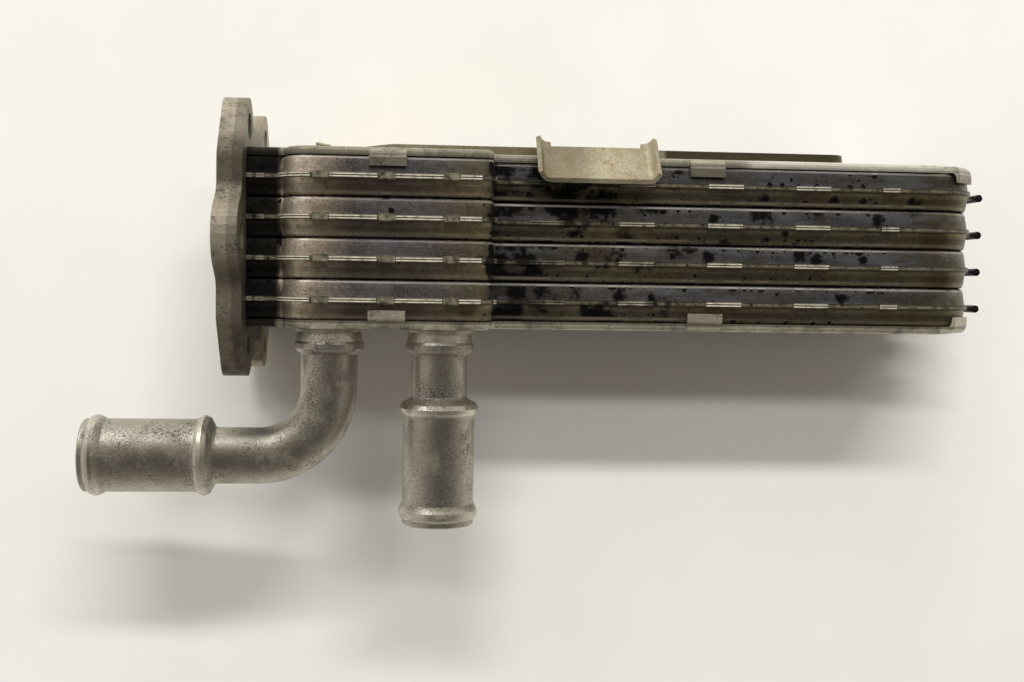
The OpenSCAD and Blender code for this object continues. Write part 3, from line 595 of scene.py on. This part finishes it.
def lay_wall_painted_shade(tree, colour, seam, off_seam, ragged):
    """Lightens and darkens the wall by its height over the seam as painted shade, and blackens the grooves
    as dirt and painted shade.
    """
    stops = [(height / CELL_PITCH + 0.5, value) for height, value in WALL_PAINTED_SHADE]
    place = add(tree, "ShaderNodeMath", {0: seam, 1: 1 / CELL_PITCH, 2: 0.5}, operation="MULTIPLY_ADD")
    wear_and_shade = add(tree, "ShaderNodeValToRGB", {"Fac": place}, stops=stops)
    wear_and_shade = add(tree, "ShaderNodeMath", {0: wear_and_shade, 1: 2}, operation="MULTIPLY")
    colour = add(tree, "ShaderNodeVectorMath", {0: colour, "Scale": wear_and_shade}, operation="SCALE")
    uneven = add(tree, "ShaderNodeMath", {0: ragged, 1: 0.8, 2: off_seam}, operation="MULTIPLY_ADD")
    # The grooves are painted near-black, partly dirt and partly the shade in the crease between cells.
    groove = band(tree, uneven, GROOVE_LEVEL, BEYOND, 0.18)
    return add(tree, "ShaderNodeMix", {0: groove, 6: colour, 7: linear("#0F0D0C")}, **COLOUR)


# These rows set the painted shade of the wall.
print("heights with their own wear:", len(WALL_PAINTED_SHADE))

# %% [markdown]
# All layers of a half-shell come together here. Bare stainless is a metal with a satin
# gloss, and soot is matt and hardly metallic, so the dirt mask drives the gloss as well as
# the colour. The same mask lifts the surface a little, because soot cakes on in a crust.

# %% Finish of the half-shells
RAGGED_MM = 1.6
# Grain of the sheet is finer than a pixel, so it is drawn at 0.5 mm.
SHEET_GRAIN, SHEET_RELIEF = 0.5, 0.05
TIP_START = 197.4
# Drawn stainless under baked soot: satin glints on the bare sheet, and velvet black where it is sooted.
# Each half's edge beside the groove is painted lighter in dashes, partly rubbed and partly a painted
# highlight, more on the upper halves.
HALVES = {
    # Only the upper halves, which face the lamps, get the bluish patches, partly as a painted sheen.
    "upper": {"tints": UPPER_TINTS, "speck_share": 0.6, "blue_sheen_share": 0.34,
              "rub_and_highlight": (4.1, 4.6, 0.2, 0.75, "#A39D97")},
    "lower": {"tints": LOWER_TINTS, "speck_share": 0.45, "blue_sheen_share": 0,
              "rub_and_highlight": (-4.5, -3.6, 0.3, 0.4, "#8C8270")},
}


def link_gloss(tree, shader, point, lines, dirt, lip):
    """Links roughness, metal, highlights and relief, each changed by the dirt."""
    # Lips are made less metallic, so that the painted highlight of the hems shows in their colour.
    covered = add(tree, "ShaderNodeMath", {0: dirt, 1: lip}, operation="MAXIMUM")
    rows = [("Roughness", dirt, 0.25, 0.42), ("Metallic", covered, -0.55, 0.75),
            ("Specular IOR Level", dirt, -0.42, 0.5)]
    for socket, mask, change, bare in rows:
        value = add(tree, "ShaderNodeMath", {0: mask, 1: change, 2: bare}, operation="MULTIPLY_ADD")
        tree.links.new(value, shader.inputs[socket])
    relief = add(tree, "ShaderNodeTexNoise", {"Vector": point, "Scale": 1 / SHEET_GRAIN, "Detail": 3})
    for mask, height in ((dirt, 1.5), (lines, 0.6)):
        relief = add(tree, "ShaderNodeMath", {0: mask, 1: height, 2: relief}, operation="MULTIPLY_ADD")
    inputs = {"Height": relief, "Distance": SHEET_RELIEF * MM, "Strength": 0.7}
    tree.links.new(add(tree, "ShaderNodeBump", inputs), shader.inputs["Normal"])


def sooted_stainless(name, tints, speck_share, blue_sheen_share, rub_and_highlight):
    """Makes the finish of one kind of half-shell, from the sheet up to the hems."""
    material, tree, shader = new_finish(name)
    point, x, y, z = place_in_mm(tree)
    seam = height_from_seam(tree, y)
    off_seam = add(tree, "ShaderNodeMath", {0: seam}, operation="ABSOLUTE")
    wandering = wandering_place(tree, x)
    inputs = {"Vector": point, "Scale": 1 / RAGGED_MM, "Detail": 5, "Roughness": 0.65}
    ragged = add(tree, "ShaderNodeTexNoise", inputs)
    dirt = soot_crust(tree, point, along_cooler(tree, wandering, SOOT_AMOUNT), off_seam, ragged)

    colour = along_cooler(tree, wandering, tints)
    drawn = add(tree, "ShaderNodeVectorMath", {0: point, 1: LINE_STRETCH}, operation="MULTIPLY")
    lines = add(tree, "ShaderNodeTexNoise", {"Vector": drawn, "Scale": 1, "Detail": 4})
    shade = add(tree, "ShaderNodeValToRGB", {"Fac": lines}, stops=[(0.3, 0.75), (0.7, 1)])
    colour = add(tree, "ShaderNodeMix", {0: 0.8, 6: colour, 7: shade}, blend_type="MULTIPLY", **COLOUR)
    colour = lay_mottle(tree, colour, point, SHELL_MOTTLE, SHELL_DARKEST)
    colour = lay_haze(tree, colour, point)
    if blue_sheen_share:
        colour = lay_blue_and_sheen(tree, colour, point, x, blue_sheen_share)

    rust = blotches(tree, point, ragged, RUST_BLOTCHES)
    rust = add(tree, "ShaderNodeMath", {0: rust, 1: 0.6}, operation="MULTIPLY")
    specks = add(tree, "ShaderNodeMath", {0: soot_specks(tree, point), 1: speck_share}, operation="MULTIPLY")
    for mask, tint in ((rust, "#4A3322"), (specks, "#2B2725"), (dirt, "#110F0E")):
        colour = add(tree, "ShaderNodeMix", {0: mask, 6: colour, 7: linear(tint)}, **COLOUR)

    colour = lay_rub_and_highlight(tree, colour, x, seam, drawn, rub_and_highlight)
    colour = lay_wall_painted_shade(tree, colour, seam, off_seam, ragged)
    proud = proud_of_wall(tree, point, x, z)
    colour, lip = lay_lips(tree, colour, off_seam, dirt, ragged)
    colour = lay_hems(tree, colour, x, proud, off_seam, lip, dirt, ragged)
    colour = lay_lock_tabs(tree, colour, x, z, proud, ragged)
    tip = band(tree, x, TIP_START, BEYOND, 0.5)
    colour = add(tree, "ShaderNodeMix", {0: tip, 6: colour, 7: linear("#171412")}, **COLOUR)
    tree.links.new(colour, shader.inputs["Base Color"])
    link_gloss(tree, shader, point, lines, dirt, lip)
    return material


for half, choices in HALVES.items():
    finish = sooted_stainless("sooted_stainless_" + half, **choices)
    for name, piece in nodes.items():
        if name.endswith(half + "_shell"):
            piece.material_slots[0].material = finish
print("sooted shells:", sum(name.endswith("shell") for name in nodes))

# %% [markdown]
# Stained and satin steels
#
# The flange, covers, pipes and bracket are steel too, with less soot. They share a recipe:
# a base tint that drifts over centimetres, a darker stain in patches, pits or specks of a
# real size, and a satin roughness. What differs is how much of each, and the places that
# belong to one piece only, such as the sooty ends of the covers, the oily middle of the
# flange and the beads of the pipes, which are lighter, partly rubbed bright by hoses and
# partly a painted highlight.

# %% Beads and tones of the other steels
SPIGOT_RADIUS = 9
TONE_MATT = 0.85
DEFAULT_GLOSS = 0.5


def bead_mask(tree, point, x, beads):
    """Returns a mask of the rings that stand out of the hose spigots."""
    largest = 0
    for centre, across, start, end in beads:
        flat = add(tree, "ShaderNodeVectorMath", {0: point, 1: across}, operation="MULTIPLY")
        reach = add(tree, "ShaderNodeVectorMath", {0: flat, 1: centre}, "Value", operation="DISTANCE")
        ring = band(tree, reach, SPIGOT_RADIUS + 0.4, SPIGOT_RADIUS + 2, 0.3)
        here = band(tree, x, start, end, 0.3)
        ring = add(tree, "ShaderNodeMath", {0: ring, 1: here}, operation="MULTIPLY")
        largest = add(tree, "ShaderNodeMath", {0: largest, 1: ring}, operation="MAXIMUM")
    return largest


def lay_tones(tree, colour, axes, cloud, tones):
    """Lays bands of another tone over the colour, and returns it with the gloss that is left."""
    gloss = DEFAULT_GLOSS
    for axis, start, end, soft, strength, tone in tones:
        inputs = {0: cloud, 1: 4 * soft, 2: axes[axis]}
        place = add(tree, "ShaderNodeMath", inputs, operation="MULTIPLY_ADD")
        shade = band(tree, place, start + 2 * soft, end + 2 * soft, soft)
        shade = add(tree, "ShaderNodeMath", {0: shade, 1: strength}, operation="MULTIPLY")
        colour = add(tree, "ShaderNodeMix", {0: shade, 6: colour, 7: linear(tone)}, **COLOUR)
        kept = add(tree, "ShaderNodeMath", {0: shade, 1: -TONE_MATT, 2: 1}, operation="MULTIPLY_ADD")
        gloss = add(tree, "ShaderNodeMath", {0: kept, 1: gloss}, operation="MULTIPLY")
    return colour, gloss


print("tones lose this share of their gloss:", TONE_MATT)

# %% [markdown]
# The recipe itself is one function, because six finishes differ only in their numbers. Stain
# makes a steel duller and less metallic, rubbed beads make it smoother, and pits are sunk.

# %% One recipe for the other steels
DRIFT_MM, PIT_CROWD_MM = 14, 7
STEEL_MOTTLE, STEEL_DARKEST = 0.9, 0.6
# Grain of these steels is finer than a pixel too, so it is drawn at 0.45 mm.
STEEL_GRAIN = 0.45
BEAD_SHARE, BEAD_SMOOTH = 0.3, 0.12


def stained_steel(name, light, dark, stain, spots, rough, metal, relief_mm,
                  tones=(), beads=(), spot_level=0.94):
    """Makes a steel. Stain and spots are a colour, a size in mm and a share each."""
    material, tree, shader = new_finish(name)
    point, x, y, z = place_in_mm(tree)
    drift = add(tree, "ShaderNodeTexNoise", {"Vector": point, "Scale": 1 / DRIFT_MM, "Detail": 4})
    colour = add(tree, "ShaderNodeValToRGB", {"Fac": drift}, stops=[(0.32, dark), (0.68, light)])

    stain_colour, stain_mm, stain_share = stain
    inputs = {"Vector": point, "Scale": 1 / stain_mm, "Detail": 6, "Roughness": 0.65}
    cloud = add(tree, "ShaderNodeTexNoise", inputs)
    stained = band(tree, cloud, 0.58, BEYOND, 0.1)
    stained = add(tree, "ShaderNodeMath", {0: stained, 1: stain_share}, operation="MULTIPLY")
    colour = add(tree, "ShaderNodeMix", {0: stained, 6: colour, 7: linear(stain_colour)}, **COLOUR)

    spot_colour, spot_mm, spot_share = spots
    inputs = {"Vector": point, "Scale": 1 / spot_mm, "Detail": 3, "Roughness": 0.7}
    pits = add(tree, "ShaderNodeTexNoise", inputs)
    crowd = add(tree, "ShaderNodeTexNoise", {"Vector": point, "Scale": 1 / PIT_CROWD_MM, "Detail": 3})
    crowded = add(tree, "ShaderNodeMath", {0: crowd, 1: 0.6, 2: pits}, operation="MULTIPLY_ADD")
    pit = band(tree, crowded, spot_level, BEYOND, 0.07)
    pitted = add(tree, "ShaderNodeMath", {0: pit, 1: spot_share}, operation="MULTIPLY")
    colour = add(tree, "ShaderNodeMix", {0: pitted, 6: colour, 7: linear(spot_colour)}, **COLOUR)
    colour = lay_mottle(tree, colour, point, STEEL_MOTTLE, STEEL_DARKEST)

    dull = add(tree, "ShaderNodeMath", {0: stained, 1: 0.2, 2: rough}, operation="MULTIPLY_ADD")
    if beads:
        bright = bead_mask(tree, point, x, beads)
        # The beads are painted lighter, partly rubbed bright by hoses and partly a painted highlight, and
        # they are smoother.
        rubbed_and_highlight = add(tree, "ShaderNodeMath", {0: bright, 1: BEAD_SHARE}, operation="MULTIPLY")
        colour = add(tree, "ShaderNodeMix", {0: rubbed_and_highlight, 6: colour, 7: linear("#FBF4E4")}, **COLOUR)
        inputs = {0: bright, 1: -BEAD_SMOOTH, 2: dull}
        dull = add(tree, "ShaderNodeMath", inputs, operation="MULTIPLY_ADD")
    if tones:
        colour, gloss = lay_tones(tree, colour, {"x": x, "y": y, "z": z}, cloud, tones)
        tree.links.new(gloss, shader.inputs["Specular IOR Level"])
    bare = add(tree, "ShaderNodeMath", {0: stained, 1: -0.5 * metal, 2: metal}, operation="MULTIPLY_ADD")
    grain = add(tree, "ShaderNodeTexNoise", {"Vector": point, "Scale": 1 / STEEL_GRAIN, "Detail": 3})
    relief = add(tree, "ShaderNodeMath", {0: pit, 1: -0.8, 2: grain}, operation="MULTIPLY_ADD")
    bump = add(tree, "ShaderNodeBump", {"Height": relief, "Distance": relief_mm * MM, "Strength": 0.7})
    made = {"Base Color": colour, "Roughness": dull, "Metallic": bare, "Normal": bump}
    for socket, value in made.items():
        tree.links.new(value, shader.inputs[socket])
    return material


print("grain of the steels in mm:", STEEL_GRAIN)

# %% [markdown]
# The pieces take their finishes here. A tone is a band across one axis of the cooler, from
# one place to another in millimetres, with a soft border, a strength and a colour.

# %% Finishes of the flange, covers, pipes, bracket and fins
# The soot colour also stands for painted shade along the edges of the covers.
FLANGE_DARK, SOOT_AND_SHADE, GREASE, OLIVE = "#38332B", "#1F1B18", "#3A3427", "#3F3825"
# The pale end colour is a painted highlight, and the pale ear colour is painted light.
END_PAINTED_HIGHLIGHT, EAR_PAINTED_LIGHT = "#F4F0E2", "#DDD4BC"
# Each row is a point on a spigot's axis, the directions across it and where it lies along X.
HOSE_BEADS = [((53.6, 0, 20), (1, 0, 1), 40, 70), ((0, -54.1, 20), (0, 1, 1), -100, -1)]
FINISHES = {
    # Thick pressed steel, dull and stained with oil, so its highlights are broad and weak.
    "gas_flange": stained_steel(
        "pressed_steel_flange", "#BDB39F", "#9A917F", ("#5A5447", 6, 0.7), ("#2E2A26", 0.6, 0.7),
        rough=0.45, metal=0.5, relief_mm=0.07,
        # Tones: oil at the top, darker towards the bottom, the half of the rim next to the neck darker,
        # partly its duller sheared half and partly painted shade, and the far ears painted pale as painted
        # light from the floor.
        tones=[("y", 11, 24, 2, 0.6, FLANGE_DARK), ("y", -60, -7, 4, 0.5, FLANGE_DARK), ("x", 3.5, 7, 0.2, 0.4, FLANGE_DARK),
               ("z", -60, -12, 3, 0.45, EAR_PAINTED_LIGHT)]),
    # Stamped stainless sheet, smooth but hazed by heat, with soot at the flange and a painted
    #     highlight towards its far end. Its edge line and tabs are darker, partly soot and partly painted
    #     shade.
    "top_cover": stained_steel(
        "stamped_stainless_cover", "#CAC2AE", "#A29B88", ("#625C4E", 6, 0.7), ("#37322B", 0.5, 0.6),
        rough=0.38, metal=0.6, relief_mm=0.05,
        tones=[("x", -5, 14.2, 0.9, 0.95, SOOT_AND_SHADE), ("x", 132, 184, 6, 0.7, END_PAINTED_HIGHLIGHT),
               ("y", 19.8, 20.5, 0.15, 0.4, SOOT_AND_SHADE), ("y", 10, 19.5, 0.2, 0.45, SOOT_AND_SHADE)]),
    # The same sheet, a little paler, with soot at the flange and a darker line along its edge,
    #     partly soot and partly painted shade.
    "bottom_cover": stained_steel(
        "stamped_stainless_base", "#D2CAB6", "#ADA592", ("#575044", 6, 0.7), ("#2E2A24", 0.5, 0.6),
        rough=0.38, metal=0.6, relief_mm=0.05,
        tones=[("x", -5, 13.6, 0.9, 0.95, SOOT_AND_SHADE), ("y", -20.6, -19.8, 0.15, 0.5, SOOT_AND_SHADE)]),
    # Drawn stainless tube with a satin skin: it mirrors the room softly, and pits show as pepper.
    "bent_coolant_pipe": stained_steel(
        "satin_stainless_pipe", "#CFC9BD", "#B8B1A3", ("#9C9582", 5, 0.5), ("#3F3A34", 0.4, 0.75),
        rough=0.36, metal=0.95, relief_mm=0.08, tones=[("y", -24.5, -19, 0.5, 0.4, GREASE)],
        beads=HOSE_BEADS, spot_level=0.92),
    # Zinc-plated steel with a yellowed coat, silky where it is whole and flecked with rust.
    "clip_bracket": stained_steel(
        "zinc_plated_bracket", "#D6CDB0", "#A69C80", ("#9A874C", 3, 0.5), ("#6A4826", 0.4, 0.75),
        rough=0.4, metal=0.6, relief_mm=0.06,
        # Tones: the near edge face and the strip right of the saddle are darker, partly dirt and partly
        # painted shade, and it is darker around the left half of the saddle.
        tones=[("z", 13.4, 14.3, 0.12, 0.2, OLIVE), ("x", 111, 170, 0.5, 0.85, OLIVE),
               ("x", 74, 91, 4, 0.4, OLIVE)]),
    # Thin folded stainless foil, greyed by exhaust and only seen through the gas windows.
    "fins": stained_steel(
        "fin_foil", "#7A756C", "#5A554E", ("#2A2725", 8, 0.8), ("#1E1C1A", 0.7, 0.6),
        rough=0.45, metal=0.8, relief_mm=0.04),
}
FINISHES["straight_coolant_pipe"] = FINISHES["bent_coolant_pipe"]
for name, piece in nodes.items():
    if name.endswith("fin") or name.endswith("divider"):
        piece.material_slots[0].material = FINISHES["fins"]
    elif name in FINISHES:
        piece.material_slots[0].material = FINISHES[name]
print("finishes:", sorted({finish.name for finish in FINISHES.values()}))
